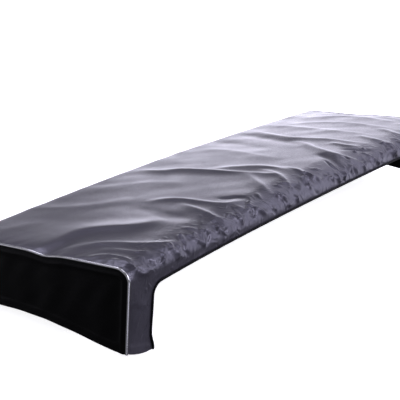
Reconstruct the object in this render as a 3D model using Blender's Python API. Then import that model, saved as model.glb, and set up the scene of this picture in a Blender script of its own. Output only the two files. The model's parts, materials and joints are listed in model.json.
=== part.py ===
"""A padded keyboard cover, fitted: it hangs over what it covers, closed at both ends and along one
long side, and cut out between two legs along the other.

Metres, +Z up. X runs along the length, from the near end to the far end. Y runs from the cut-out
side to the closed side. The origin is the middle of the top's flat underside, which is what the
cover rests with. Sizes in tables are in millimetres.
"""

import math

import bpy
from mathutils import Vector, geometry

MM = 0.001

# Overall sizes, over the outside of the cloth and the piping.
LENGTH = 0.993
DEPTH = 0.360
CUTOUT_SIDE_RISE = 0.1239
CLOSED_SIDE_RISE = 0.0903
WALL_LEAN = 0.009

# The cloth and its padding.
SIDE_THICKNESS = 0.002
TOP_EDGE_THICKNESS = 0.004
CORNER_DOWN = 0.0205
CORNER_IN = 0.026
CROWN = 0.011
CROWN_POWER = 1.6
EDGE_PUFF = 0.002
EDGE_PUFF_REACH = 0.014
FOLDS_FADE = 0.020
GATHERS_FADE = 0.044

# The seam at each end: cord, end panel and the gaps that keep the pieces apart.
GAP = 0.0003
PIPING_RADIUS = 0.002
PIPING_SUNK = 0.001
PANEL_THICKNESS = 0.002
PANEL_SET_BACK = 0.0015
SEAM_DIP_FADES = 0.045

# The cut-out and its binding.
LEG_WIDTH = 0.0535
LEG_TOP = 0.068
CUTOUT_RADIUS = 0.0175
CUTOUT_RISE = 0.0135
CUTOUT_RISE_NEAR = 0.190
CUTOUT_RISE_FAR = 0.100
LEG_WAIST = 0.0010
LEG_FLARE = 0.0060
TAPE_THICKNESS = 0.001
TAPE_OVERLAP = 0.0035
TAPE_CHAMFER = 0.0008

# The hems, above or below the level where what is covered ends.
LEG_HEM_AT_END = -0.0045
LEG_HEM_AT_CUTOUT = -0.0170
CLOSED_HEM = -0.0055
CLOSED_HEM_WAVE = 0.0015
PANEL_HEM = -0.0055
PANEL_HEM_RISE = 0.0095

# The relief of the end panels: the seam allowance under the cloth, and the turned hem.
ALLOWANCE_IN = 0.008
ALLOWANCE_WIDTH = 0.003
ALLOWANCE_HEIGHT = 0.001
HEM_DEPTH = 0.014
HEM_HEIGHT = 0.0008
PANEL_BELLY = 0.0012
PANEL_BELLY_RUN = 0.050

# How finely the pieces are divided.
COLUMN_STEP = 0.0092
LEG_COLUMNS = 5
TOP_ROWS = 20
CORNER_ROWS = 5
STRIP_ROWS = 2
LEG_ROWS = 3
DROP_ROWS = 4
PIPING_SIDES = 8
PANEL_STEP = 0.024

TOP_TILT = (CUTOUT_SIDE_RISE - CLOSED_SIDE_RISE) / DEPTH
LEVEL = -(CUTOUT_SIDE_RISE + CLOSED_SIDE_RISE) / 2 + TOP_EDGE_THICKNESS
HALF_LENGTH = LENGTH / 2
HALF_DEPTH = DEPTH / 2
SHELL_END = HALF_LENGTH - 2 * PIPING_RADIUS - GAP
PANEL_INSET = 2 * PIPING_RADIUS - PIPING_SUNK + GAP
LEG_EDGE = HALF_LENGTH - LEG_WIDTH

# Main folds of the top. Each crest is an arc from its start to its end, in mm from the near end and
# from the cut-out side. It bows to one side, stands up or, below zero, sinks in, and falls away over
# one width towards the near end and over another towards the far end.
FOLDS = (
    # start_x, start_y, end_x, end_y, bow, height, near_width, far_width
    (10, 178, 225, 100, 34, 2.6, 34, 11),
    (22, 160, 160, 10, 30, -3.2, 16, 14),
    (6, 144, 150, 4, 24, 3.6, 14, 11),
    (8, 104, 30, 8, 12, 2.4, 14, 11),
    (30, 100, 62, 6, 12, 1.8, 14, 11),
    (200, 205, 205, 30, 16, -1.8, 20, 16),
    (250, 178, 322, 44, 10, 3.4, 14, 11),
    (300, 150, 306, 52, 4, -2.4, 14, 11),
    (268, 126, 258, 6, -9, 3.0, 14, 11),
    (338, 110, 352, 6, 6, 2.2, 14, 11),
    (420, 340, 480, 62, 8, 3.8, 18, 11),
    (492, 186, 474, 28, 12, -3.2, 14, 14),
    (452, 136, 384, 8, -8, 3.0, 14, 11),
    (500, 84, 488, 6, 3, 2.6, 14, 11),
    (528, 150, 520, 10, 4, 2.0, 18, 12),
    (590, 330, 560, 120, -10, 1.8, 26, 18),
    (612, 74, 566, 4, 6, -3.0, 14, 11),
    (690, 170, 652, 6, -14, 3.6, 20, 11),
    (740, 340, 716, 190, 6, 2.8, 22, 12),
    (702, 300, 640, 130, -6, -2.4, 20, 18),
    (728, 190, 752, 40, 2, 3.0, 14, 11),
    (752, 190, 778, 30, 3, -2.8, 14, 12),
    (792, 320, 800, 130, 6, -2.0, 24, 18),
    (848, 250, 858, 30, 4, 2.8, 20, 14),
    (905, 320, 925, 60, -8, 2.4, 22, 14),
    (962, 210, 950, 20, 6, 2.2, 14, 11),
)
# Where an end seam sinks, in mm from the middle.
SEAM_DIPS = (
    # end, y, half_width, depth
    (-1, -18, 24, -3.8),
    (1, 52, 40, -1.4),
)
# Gathers where the padded top rolls over the cut-out side, in mm along the length.
GATHERS = (
    # centre_x, half_width, depth
    (66, 8, 1.2),
    (104, 9, -1.0),
    (152, 8, 1.6),
    (176, 9, -1.4),
    (258, 9, 1.5),
    (284, 10, -1.2),
    (330, 10, 1.0),
    (388, 9, 1.6),
    (414, 10, -1.3),
    (486, 9, 1.5),
    (516, 10, -1.2),
    (566, 9, 1.6),
    (596, 10, -1.5),
    (650, 9, 1.7),
    (684, 11, -1.2),
    (752, 9, 1.6),
    (790, 11, -1.3),
    (856, 10, 1.3),
    (918, 10, -1.2),
)


def clamp(value, low=0.0, high=1.0):
    return min(max(value, low), high)


def smooth(value):
    t = clamp(value)
    return t * t * (3 - 2 * t)


def bump(distance, width):
    return math.exp(-((distance / width) ** 2))


def fold_lift(x, y):
    """The height of all main folds at a place on the top, in metres."""
    px, py = (x + HALF_LENGTH) / MM, (y + HALF_DEPTH) / MM
    total = 0.0
    for start_x, start_y, end_x, end_y, bow, height, near_width, far_width in FOLDS:
        run_x, run_y = end_x - start_x, end_y - start_y
        length = math.hypot(run_x, run_y)
        along = ((px - start_x) * run_x + (py - start_y) * run_y) / length**2
        if not 0 < along < 1:
            continue
        off = ((py - start_y) * run_x - (px - start_x) * run_y) / length
        off -= 4 * bow * along * (1 - along)
        fades = 1 - abs(2 * along - 1) ** 3
        total += height * fades * bump(off, far_width if off > 0 else near_width)
    return total * MM


def gather_depth(x):
    """How far the rolled edge of the top swells or sinks at a place along the length."""
    px = (x + HALF_LENGTH) / MM
    return MM * sum(depth * bump(px - centre, width) for centre, width, depth in GATHERS)


def seam_dip(end, y):
    """How far an end seam sinks where the cloth has slipped."""
    rows = (row for row in SEAM_DIPS if row[0] == end)
    return MM * sum(depth * bump(y / MM - place, width) for _, place, width, depth in rows)


def lift(x, y):
    """How far the top stands above its seam plane at a place."""
    from_end = SHELL_END - abs(x)
    crown = CROWN * (1 - abs(x / SHELL_END) ** CROWN_POWER)
    puff = EDGE_PUFF * (1 - math.exp(-from_end / EDGE_PUFF_REACH))
    dip = seam_dip(math.copysign(1, x), y) * bump(from_end, SEAM_DIP_FADES)
    return crown + puff + dip + fold_lift(x, y) * smooth(from_end / FOLDS_FADE)


def unit(a, b):
    length = math.dist(a, b)
    return (b[0] - a[0]) / length, (b[1] - a[1]) / length


def between(a, b, t):
    return a[0] + (b[0] - a[0]) * t, a[1] + (b[1] - a[1]) * t


def meeting(a, along_a, b, along_b):
    """The point where two lines in the section meet."""
    cross = along_a[0] * along_b[1] - along_a[1] * along_b[0]
    t = ((b[0] - a[0]) * along_b[1] - (b[1] - a[1]) * along_b[0]) / cross
    return a[0] + along_a[0] * t, a[1] + along_a[1] * t


def wall(side, drawn_in=0.0):
    """A long side's line in the section, as its foot and its direction upwards."""
    rise = CUTOUT_SIDE_RISE if side < 0 else CLOSED_SIDE_RISE
    foot = (side * (HALF_DEPTH - WALL_LEAN), LEVEL)
    up = unit(foot, (side * HALF_DEPTH, LEVEL + rise))
    return (foot[0] - side * up[1] * drawn_in, foot[1] + side * up[0] * drawn_in), up


def wall_point(side, z, drawn_in=0.0):
    """The point of a long side at a height."""
    foot, up = wall(side, drawn_in)
    return foot[0] + up[0] * (z - foot[1]) / up[1], z


def section():
    """The outside of the section, from the top of the cut-out side's wall, over the top, to the top
    of the closed side's wall, as rows of point, outward normal and share of the top's lift."""
    top_along = unit((0, 0), (1, -TOP_TILT))
    above = (-top_along[1], top_along[0])
    arcs = []
    for side in (-1, 1):
        foot, up = wall(side)
        inward = (-side * top_along[0], -side * top_along[1])
        corner = meeting(foot, up, (0, TOP_EDGE_THICKNESS), top_along)
        start = (corner[0] - up[0] * CORNER_DOWN, corner[1] - up[1] * CORNER_DOWN)
        turn = math.acos(up[0] * inward[0] + up[1] * inward[1])
        arc = []
        for step in range(CORNER_ROWS + 1):
            angle = turn * step / CORNER_ROWS
            raised = CORNER_DOWN * (math.cos(turn - angle) - math.cos(turn)) / (1 - math.cos(turn))
            drawn = CORNER_IN * (1 - math.cos(angle)) / (1 - math.cos(turn))
            point = tuple(start[k] + up[k] * raised + inward[k] * drawn for k in (0, 1))
            rising, drawing = CORNER_DOWN * math.sin(turn - angle), CORNER_IN * math.sin(angle)
            along = unit((0, 0), [up[k] * rising + inward[k] * drawing for k in (0, 1)])
            arc.append((point, (side * along[1], -side * along[0]), smooth(step / CORNER_ROWS)))
        arcs.append(arc)
    cutout_arc, closed_arc = arcs[0], arcs[1][::-1]
    left, right = cutout_arc[-1][0], closed_arc[0][0]
    top = [(between(left, right, k / TOP_ROWS), above, 1.0) for k in range(1, TOP_ROWS)]
    return cutout_arc + top + closed_arc


def inset(row, depth):
    """The point of a row of the section, moved in from the outside."""
    (y, z), normal, _ = row
    return y - normal[0] * depth, z - normal[1] * depth


def cutout_edge(x):
    """The height of the cut-out's upper edge at a place along the length. On a leg it is the height
    where the round corner starts."""
    inside = LEG_EDGE - abs(x)
    if inside <= 0:
        return LEVEL + LEG_TOP
    if inside < CUTOUT_RADIUS:
        across = CUTOUT_RADIUS - inside
        return LEVEL + LEG_TOP + math.sqrt(CUTOUT_RADIUS**2 - across**2)
    near, far = x + LEG_EDGE - CUTOUT_RADIUS, LEG_EDGE - CUTOUT_RADIUS - x
    risen = (1 - math.exp(-near / CUTOUT_RISE_NEAR)) * (1 - math.exp(-far / CUTOUT_RISE_FAR))
    return LEVEL + LEG_TOP + CUTOUT_RADIUS + CUTOUT_RISE * risen


def leg_hem(x):
    t = (SHELL_END - abs(x)) / (SHELL_END - LEG_EDGE)
    return LEVEL + LEG_HEM_AT_END + (LEG_HEM_AT_CUTOUT - LEG_HEM_AT_END) * (1 - (1 - t) ** 2)


def leg_point(x, t):
    """A point of a leg, from its hem at t = 0 to its top at t = 1, narrowed at its waist and flared
    at its hem."""
    out = (SHELL_END - abs(x)) / (SHELL_END - LEG_EDGE)
    wider = LEG_FLARE * (1 - smooth(3 * t)) - LEG_WAIST * bump(t - 0.4, 0.3) * smooth(4 * (1 - t))
    z = leg_hem(x) + (LEVEL + LEG_TOP - leg_hem(x)) * t
    return x - math.copysign(wider * out, x), z


def closed_hem(x):
    return LEVEL + CLOSED_HEM + CLOSED_HEM_WAVE * math.sin(5 * math.pi * x / LENGTH + 0.6)


def panel_hem(y):
    return LEVEL + PANEL_HEM + PANEL_HEM_RISE * math.cos(math.pi * y / DEPTH) ** 2


def wall_normal(side):
    _, up = wall(side)
    return Vector((0, side * up[1], -side * up[0]))


def columns():
    """The places along the length where the shell is divided: legs, round corners, middle."""
    leg = [SHELL_END + (LEG_EDGE - SHELL_END) * k / LEG_COLUMNS for k in range(LEG_COLUMNS + 1)]
    quarter = [math.pi / 2 * k / CORNER_ROWS for k in range(1, CORNER_ROWS + 1)]
    corner = [LEG_EDGE - CUTOUT_RADIUS * (1 - math.cos(angle)) for angle in quarter]
    outer = leg + corner
    count = round(2 * corner[-1] / COLUMN_STEP)
    middle = [-corner[-1] + 2 * corner[-1] * k / count for k in range(1, count)]
    return [-x for x in outer] + middle + outer[::-1]


def new_object(name, points, faces, material, parent):
    mesh = bpy.data.meshes.new(name)
    mesh.from_pydata(points, [], faces)
    mesh.shade_smooth()
    mesh.set_sharp_from_angle(angle=math.radians(40))
    mesh.materials.append(material)
    piece = bpy.data.objects.new(name, mesh)
    piece.parent = parent
    bpy.context.collection.objects.link(piece)
    return piece


def closed_sheet(outer, inner, faces):
    """Points and faces of a sheet between two layers that are divided alike, with its rims."""
    count = len(outer)
    edges = {(a, b) for face in faces for a, b in zip(face, face[1:] + face[:1])}
    rims = [(b, a, a + count, b + count) for a, b in sorted(edges) if (b, a) not in edges]
    back = [tuple(k + count for k in reversed(face)) for face in faces]
    return outer + inner, faces + back + rims


def gather_share(row, y):
    """How much of the gathers a row of the section takes: none on the wall, all on the roll."""
    if row < CORNER_ROWS:
        return smooth(row / 2)
    return bump(y + HALF_DEPTH - CORNER_IN, CORNER_IN)


def make_shell(material, parent):
    """The wrap panel: the padded top, the strip and legs round the cut-out, and the closed side."""
    rows = section()
    places = columns()
    outer, inner, index = [], [], {}

    def add(key, outside, inside):
        index[key] = len(outer)
        outer.append(Vector(outside))
        inner.append(Vector(inside))

    def add_wall(key, side, x, z):
        outside = Vector((x, *wall_point(side, z)))
        add(key, outside, outside - wall_normal(side) * SIDE_THICKNESS)

    last = len(rows) - 1
    for i, x in enumerate(places):
        end_fade = smooth((SHELL_END - abs(x)) / GATHERS_FADE)
        if abs(x) >= LEG_EDGE:
            for j in range(LEG_ROWS):
                leg_x, z = leg_point(x, j / LEG_ROWS)
                add_wall((i, j - LEG_ROWS - STRIP_ROWS), -1, leg_x, z)
        low, high = cutout_edge(x), rows[0][0][1]
        for j in range(STRIP_ROWS):
            add_wall((i, j - STRIP_ROWS), -1, x, low + (high - low) * j / STRIP_ROWS)
        for j, row in enumerate(rows):
            (y, z), normal, share = row
            swell = gather_depth(x) * gather_share(j, y) * end_fade
            raised = z + lift(x, y) * share + swell * normal[1]
            thickness = SIDE_THICKNESS + (TOP_EDGE_THICKNESS - SIDE_THICKNESS) * share
            add((i, j), (x, y + swell * normal[0], raised), (x, *inset(row, thickness)))
        low, high = closed_hem(x), rows[last][0][1]
        for j in range(1, DROP_ROWS + 1):
            add_wall((i, last + j), 1, x, high + (low - high) * j / DROP_ROWS)

    faces = []
    for i, j in index:
        corners = [(i, j), (i + 1, j), (i + 1, j + 1), (i, j + 1)]
        if all(key in index for key in corners):
            faces.append(tuple(index[key] for key in corners))
    points, faces = closed_sheet(outer, inner, faces)
    return new_object("shell", points, faces, material, parent)


def seam_path(end, drawn_in):
    """The seam between the shell and an end panel, from hem to hem, drawn in from the outside."""
    path = []
    for row in section():
        y, z = inset(row, drawn_in)
        path.append((y, z + seam_dip(end, row[0][0]) * row[2]))
    start = wall_point(-1, leg_hem(SHELL_END), drawn_in)
    stop = wall_point(1, closed_hem(end * SHELL_END), drawn_in)
    up = [between(start, path[0], k / DROP_ROWS) for k in range(DROP_ROWS)]
    down = [between(stop, path[-1], k / DROP_ROWS) for k in range(DROP_ROWS)]
    return up + path + down[::-1]


def turned(points, k):
    """The direction along a path at one of its points, and how far a bend there stretches it."""
    before = (points[k] - points[k - 1]).normalized() if k else None
    after = (points[k + 1] - points[k]).normalized() if k + 1 < len(points) else None
    if before is None or after is None:
        return before or after, 1.0
    along = (before + after).normalized()
    return along, 1 / max(along.dot(before), 0.5)


def swept(points, facing, outline):
    """Points and faces of a solid drawn along a flat path. The outline's first coordinate lies along
    facing, and its second across the path, on the side of along x facing."""
    solid, count = [], len(outline)
    for k, point in enumerate(points):
        along, stretch = turned(points, k)
        across = along.cross(facing).normalized() * stretch
        solid.extend(point + facing * a + across * b for a, b in outline)
    faces = []
    for k in range(len(points) - 1):
        for n in range(count):
            m = (n + 1) % count
            faces.append((k * count + n, k * count + m, (k + 1) * count + m, (k + 1) * count + n))
    end = (len(points) - 1) * count
    return solid, faces + [tuple(range(count))[::-1], tuple(range(end, end + count))]


def make_piping(name, end, material, parent):
    """The cord in the seam, a round of cloth over a cord, from hem over the top to hem."""
    x = end * (HALF_LENGTH - PIPING_RADIUS)
    path = [Vector((x, y, z)) for y, z in seam_path(end, PIPING_SUNK)]
    turns = [2 * math.pi * k / PIPING_SIDES for k in range(PIPING_SIDES)]
    outline = [(PIPING_RADIUS * math.cos(a), PIPING_RADIUS * math.sin(a)) for a in turns]
    points, faces = swept(path, Vector((1, 0, 0)), outline)
    return new_object(name, points, faces, material, parent)


def from_path(point, path):
    """How far a point lies from a path in the section."""
    nearest = math.inf
    for a, b in zip(path, path[1:]):
        run = (b[0] - a[0], b[1] - a[1])
        t = ((point[0] - a[0]) * run[0] + (point[1] - a[1]) * run[1]) / (run[0] ** 2 + run[1] ** 2)
        nearest = min(nearest, math.dist(point, between(a, b, clamp(t))))
    return nearest


def panel_relief(y, z, path):
    """How far an end panel stands out: its belly, the allowance beside the seam and the hem."""
    from_seam = from_path((y, z), path)
    above_hem = z - panel_hem(y)
    belly = PANEL_BELLY * smooth(from_seam / PANEL_BELLY_RUN) * smooth(above_hem / PANEL_BELLY_RUN)
    allowance = ALLOWANCE_HEIGHT * bump(from_seam - ALLOWANCE_IN, ALLOWANCE_WIDTH)
    hem = HEM_HEIGHT * smooth((HEM_DEPTH + ALLOWANCE_WIDTH - above_hem) / ALLOWANCE_WIDTH)
    return (belly + max(allowance, hem)) * smooth(from_seam / ALLOWANCE_WIDTH)


def panel_points(end, path):
    """The points that divide an end panel: rows beside the seam and the hem, and a coarse grid."""
    inside = []
    for extra in (-ALLOWANCE_WIDTH, 0, ALLOWANCE_WIDTH):
        ring = seam_path(end, PANEL_INSET + ALLOWANCE_IN + extra)
        inside.extend(point for point in ring if point[1] > panel_hem(point[0]) + PANEL_STEP)
    columns_across = round(DEPTH / PANEL_STEP)
    for k in range(1, columns_across):
        y = DEPTH * (k / columns_across - 0.5)
        low = panel_hem(y)
        heights = [HEM_DEPTH, HEM_DEPTH + ALLOWANCE_WIDTH]
        heights += [HEM_DEPTH + PANEL_STEP * n for n in range(1, 5)]
        grid = [(y, low + height) for height in heights]
        inside.extend(point for point in grid if from_path(point, path) > 2 * ALLOWANCE_IN)
    return inside


def inside_outline(point, outline):
    y, z = point
    crossings = 0
    for (y0, z0), (y1, z1) in zip(outline, outline[1:] + outline[:1]):
        if (z0 > z) != (z1 > z) and y < y0 + (z - z0) * (y1 - y0) / (z1 - z0):
            crossings += 1
    return crossings % 2 == 1


def make_end_panel(name, end, material, parent):
    """A plain panel sewn in at the cord, with a turned hem at its foot."""
    path = seam_path(end, PANEL_INSET)
    steps = round(DEPTH / PANEL_STEP)
    left, right = path[0][0], path[-1][0]
    hem = [right + (left - right) * k / steps for k in range(1, steps)]
    outline = path + [(y, panel_hem(y)) for y in hem]
    inside = [point for point in panel_points(end, path) if inside_outline(point, outline)]
    flat = [Vector(point) for point in outline + inside]
    ring = [(k, (k + 1) % len(outline)) for k in range(len(outline))]
    flat, _, faces, *_ = geometry.delaunay_2d_cdt(flat, ring, [], 1, MM * 0.01)
    face_x = end * (HALF_LENGTH - PANEL_SET_BACK)
    outer = [Vector((face_x + end * panel_relief(y, z, path), y, z)) for y, z in flat]
    inner = [Vector((face_x - end * PANEL_THICKNESS, y, z)) for y, z in flat]
    faces = [tuple(face) if end > 0 else tuple(face)[::-1] for face in faces]
    points, faces = closed_sheet(outer, inner, faces)
    return new_object(name, points, faces, material, parent)


def cutout_path():
    """The cut-out's edge in the middle of the cloth, up one leg, along the strip, down the other."""
    legs = [leg_point(LEG_EDGE, k / LEG_ROWS) for k in range(LEG_ROWS)]
    strip = [(x, cutout_edge(x)) for x in columns() if abs(x) <= LEG_EDGE + GAP / 2]
    flat = [(-x, z) for x, z in legs] + strip + legs[::-1]
    middle = wall_normal(-1) * (SIDE_THICKNESS / 2)
    return [Vector((x, *wall_point(-1, z))) - middle for x, z in flat]


def make_binding(material, parent):
    """Tape folded over the cut-out's edge, with the cloth between its two sides."""
    inner = SIDE_THICKNESS / 2 + GAP
    outer = inner + TAPE_THICKNESS
    edge, over, cut = GAP + TAPE_THICKNESS, -TAPE_OVERLAP, TAPE_CHAMFER
    outline = [
        (-inner, over),
        (-inner, GAP),
        (inner, GAP),
        (inner, over),
        (outer, over),
        (outer, edge - cut),
        (outer - cut, edge),
        (cut - outer, edge),
        (-outer, edge - cut),
        (-outer, over),
    ]
    points, faces = swept(cutout_path(), wall_normal(-1), outline)
    return new_object("cutout_binding", points, faces, material, parent)


def cloth(name, colour, roughness):
    material = bpy.data.materials.new(name)
    material.use_nodes = True
    surface = material.node_tree.nodes["Principled BSDF"]
    surface.inputs["Base Color"].default_value = (*colour, 1)
    surface.inputs["Roughness"].default_value = roughness
    surface.inputs["Metallic"].default_value = 0
    return material


def main():
    for old in list(bpy.data.objects):
        bpy.data.objects.remove(old)
    cover = bpy.data.objects.new("cover", None)
    bpy.context.collection.objects.link(cover)
    make_shell(cloth("slate nylon", (0.050, 0.047, 0.065), 0.45), cover)
    panel_cloth = cloth("black nylon", (0.004, 0.004, 0.005), 0.6)
    cord_cloth = cloth("black piping", (0.006, 0.006, 0.007), 0.35)
    for name, end in (("near", -1), ("far", 1)):
        make_end_panel(f"end_panel_{name}", end, panel_cloth, cover)
        make_piping(f"piping_{name}", end, cord_cloth, cover)
    make_binding(cloth("black tape", (0.008, 0.008, 0.009), 0.5), cover)


main()
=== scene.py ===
"""The looks of a padded keyboard cover: coated nylon over thin wadding, black end panels, piped end
seams and a taped cut-out, in a white studio.

Metres, in the part's frame: X along the length from the near end, Y from the cut-out side to the
closed side, Z up, and the origin in the middle of the top's flat underside. Tables of folds are in
millimetres on the cloth, from the near end and from the cut-out side.
"""

import json
import math

import bpy
import numpy as np
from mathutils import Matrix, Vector, geometry

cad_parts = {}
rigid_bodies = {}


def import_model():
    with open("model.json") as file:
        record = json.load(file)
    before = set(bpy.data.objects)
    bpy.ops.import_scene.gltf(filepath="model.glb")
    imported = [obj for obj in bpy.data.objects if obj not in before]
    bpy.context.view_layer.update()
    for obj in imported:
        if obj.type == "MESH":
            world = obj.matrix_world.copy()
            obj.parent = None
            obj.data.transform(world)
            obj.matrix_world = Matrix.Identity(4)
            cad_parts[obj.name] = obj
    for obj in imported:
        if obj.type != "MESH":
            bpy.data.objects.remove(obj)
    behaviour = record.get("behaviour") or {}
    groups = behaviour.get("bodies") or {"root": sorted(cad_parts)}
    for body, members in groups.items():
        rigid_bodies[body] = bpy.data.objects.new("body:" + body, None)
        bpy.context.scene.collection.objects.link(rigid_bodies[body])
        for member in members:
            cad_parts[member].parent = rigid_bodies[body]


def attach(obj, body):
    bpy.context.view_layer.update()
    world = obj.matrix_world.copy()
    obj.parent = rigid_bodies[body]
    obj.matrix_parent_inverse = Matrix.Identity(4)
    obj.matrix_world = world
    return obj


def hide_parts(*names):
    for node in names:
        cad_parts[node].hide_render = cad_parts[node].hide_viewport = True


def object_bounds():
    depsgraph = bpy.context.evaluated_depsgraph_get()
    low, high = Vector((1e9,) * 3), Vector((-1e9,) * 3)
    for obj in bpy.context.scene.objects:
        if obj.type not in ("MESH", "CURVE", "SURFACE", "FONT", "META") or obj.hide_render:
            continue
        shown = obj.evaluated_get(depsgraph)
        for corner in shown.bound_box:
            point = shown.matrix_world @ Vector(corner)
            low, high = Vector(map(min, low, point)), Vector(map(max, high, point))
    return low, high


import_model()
CAD_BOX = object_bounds()

MM = 0.001
SEED = 7

# The cover's own sizes, over the outside of the cloth and the piping.
LENGTH = CAD_BOX[1].x - CAD_BOX[0].x
DEPTH = 0.360
CUTOUT_SIDE_RISE = 0.1239
CLOSED_SIDE_RISE = 0.0903
WALL_LEAN = 0.009

# The cloth and its padding.
SIDE_THICKNESS = 0.002
TOP_EDGE_THICKNESS = 0.004
CORNER_DOWN = 0.0205
CORNER_IN = 0.026
CROWN = 0.011
CROWN_POWER = 1.6
EDGE_PUFF = 0.002
EDGE_PUFF_REACH = 0.014
GATHERS_FADE = 0.044
SHOULDER = 0.064

# The seam at each end: cord, end panel and the gaps that keep the pieces apart.
GAP = 0.0003
PIPING_RADIUS = 0.002
PIPING_SUNK = 0.001
PANEL_THICKNESS = 0.002
PANEL_SET_BACK = 0.0015
SEAM_DIP_FADES = 0.045

# The cut-out and its binding.
LEG_WIDTH = 0.0535
LEG_TOP = 0.068
CUTOUT_RADIUS = 0.0175
CUTOUT_RISE = 0.0135
CUTOUT_RISE_NEAR = 0.190
CUTOUT_RISE_FAR = 0.100
LEG_WAIST = 0.0010
LEG_WAIST_PLACE = 0.4
LEG_WAIST_REACH = 0.3
LEG_FLARE = 0.0060

# The hems, above or below LEVEL.
LEG_HEM_AT_END = -0.0045
LEG_HEM_AT_CUTOUT = -0.0170
CLOSED_HEM = -0.0055
CLOSED_HEM_WAVE = 0.0015
PANEL_HEM = -0.0055
PANEL_HEM_RISE = 0.0095
HEM_DEPTH = 0.013
HEM_HEIGHT = 0.0007
HEM_STEP = 0.0025
HEM_STEP_ABOVE = 0.0015

TOP_TILT = (CUTOUT_SIDE_RISE - CLOSED_SIDE_RISE) / DEPTH
LEVEL = -(CUTOUT_SIDE_RISE + CLOSED_SIDE_RISE) / 2 + TOP_EDGE_THICKNESS
HALF_LENGTH = LENGTH / 2
HALF_DEPTH = DEPTH / 2
SHELL_END = HALF_LENGTH - 2 * PIPING_RADIUS - GAP
PANEL_INSET = 2 * PIPING_RADIUS - PIPING_SUNK + GAP
LEG_EDGE = HALF_LENGTH - LEG_WIDTH

# How finely the cloth is divided. The rows of the top and the columns of a leg lie closer at one side.
COLUMN_STEP = 0.0022
LEG_COLUMNS = 20
ROUND_COLUMNS = 8
LEG_ROWS = 24
STRIP_ROWS = 5
ROLL_ROWS = 20
CLOSED_ROLL_ROWS = 8
TOP_ROWS = 62
DROP_ROWS = 8
TOP_ROWS_CLOSING = 1.3
LEG_COLUMNS_CLOSING = 1.25
SEAM_STEPS = 24
PIPING_SIDES = 16
# The shell's rows, from the hems of the legs over the top to the hem of the closed side.
LEGS = slice(0, LEG_ROWS)
STRIP = slice(LEGS.stop, LEGS.stop + STRIP_ROWS)
OVER = slice(STRIP.stop, STRIP.stop + ROLL_ROWS + TOP_ROWS + CLOSED_ROLL_ROWS + 1)
DROP = slice(OVER.stop, OVER.stop + DROP_ROWS)

# How far from its path a fold is worked out, in its own widths.
FOLD_REACH = 3.2
# Main folds of the padded top. Each runs along its path from the closed side's end. It stands up or,
# below zero, sinks in, and falls away over one width towards the near end, another towards the far.
FOLDS = (
    # path, height, near_width, far_width
    (((3, 184), (43, 176), (82, 172), (108, 150), (141, 108), (188, 94)), 5.4, 15, 34),
    (((6, 148), (30, 138), (53, 117), (68, 96), (77, 62), (92, 37), (118, 16), (145, 0)), 3.4, 14, 6),
    (((6, 98), (18, 78), (23, 56), (26, 22), (31, 3)), 2.2, 8, 5),
    (((4, 68), (11, 33), (17, 10), (27, -4), (42, -8)), 2.4, 7, 4),
    (((38, 92), (49, 66), (55, 37), (64, 10)), 1.5, 9, 6),
    (((214, 186), (206, 120), (200, 60), (196, 20)), -1.4, 18, 14),
    (((236, 178), (260, 162), (272, 136), (274, 94), (279, 56), (296, 44), (317, 33)), 3.6, 13, 6),
    (((255, 121), (243, 81), (233, 47), (230, 24), (246, 7)), 3.2, 11, 5),
    (((298, 80), (310, 64), (319, 55), (325, 38)), -2.6, 6, 5),
    (((287, 36), (285, 24), (289, 15), (302, 9)), 2.6, 6, 4),
    (((308, 24), (310, 12), (321, 3), (338, -5)), 1.9, 6, 4),
    (
        ((388, 326), (396, 280), (417, 252), (426, 214), (432, 170), (442, 123), (448, 92), (451, 53)),
        3.6, 16, 6,
    ),
    (((438, 206), (464, 170), (484, 134), (488, 90), (479, 51)), 3.2, 17, 9),
    (((440, 123), (421, 99), (398, 69), (377, 39), (364, 16)), 2.8, 14, 7),
    (((468, 117), (462, 87), (444, 54), (425, 25), (426, 8)), 2.4, 9, 5),
    (((500, 87), (492, 55), (484, 30), (489, 15), (514, 8)), 3.0, 6, 4),
    (((469, 36), (464, 22), (466, 13), (479, 8)), 2.6, 6, 4),
    (((560, 318), (566, 240), (552, 160), (548, 120)), 1.5, 24, 14),
    (((606, 84), (592, 56), (577, 32), (566, 12), (568, 2)), -3.4, 8, 9),
    (((628, 352), (618, 260), (600, 190)), -1.3, 22, 16),
    (
        ((682, 190), (674, 158), (652, 124), (633, 90), (619, 60), (615, 33), (626, 12), (653, 2)),
        3.4, 14, 6,
    ),
    (((694, 113), (690, 91), (684, 69), (688, 46)), 2.8, 10, 5),
    (((650, 66), (660, 50), (671, 34), (694, 19)), -2.8, 5, 5),
    (((737, 316), (717, 256), (707, 208), (712, 172), (720, 125), (714, 77), (721, 30)), 3.0, 18, 6),
    (((702, 326), (688, 250), (668, 180), (652, 150)), -1.8, 16, 14),
    (((798, 332), (802, 250), (800, 180), (792, 110), (784, 60)), 1.7, 22, 10),
    (((776, 300), (838, 274), (872, 224), (880, 180), (868, 110), (850, 40)), 2.0, 18, 9),
    (((890, 312), (932, 260), (954, 210), (942, 160), (926, 96)), 2.2, 18, 8),
    (((968, 190), (966, 140), (954, 84), (944, 30)), 1.2, 12, 7),
    (((850, 96), (838, 70), (822, 40), (826, 16)), 2.2, 9, 5),
    (((916, 90), (898, 56), (880, 30), (884, 12)), 1.8, 9, 5),
    (((776, 96), (760, 66), (752, 36), (764, 12)), 2.4, 9, 5),
    (((132, 352), (160, 300), (196, 250), (250, 214)), 1.1, 26, 12),
    (((250, 352), (286, 300), (330, 250), (352, 190)), 1.2, 26, 12),
    (((20, 330), (60, 290), (110, 262)), 0.9, 22, 12),
)
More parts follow.
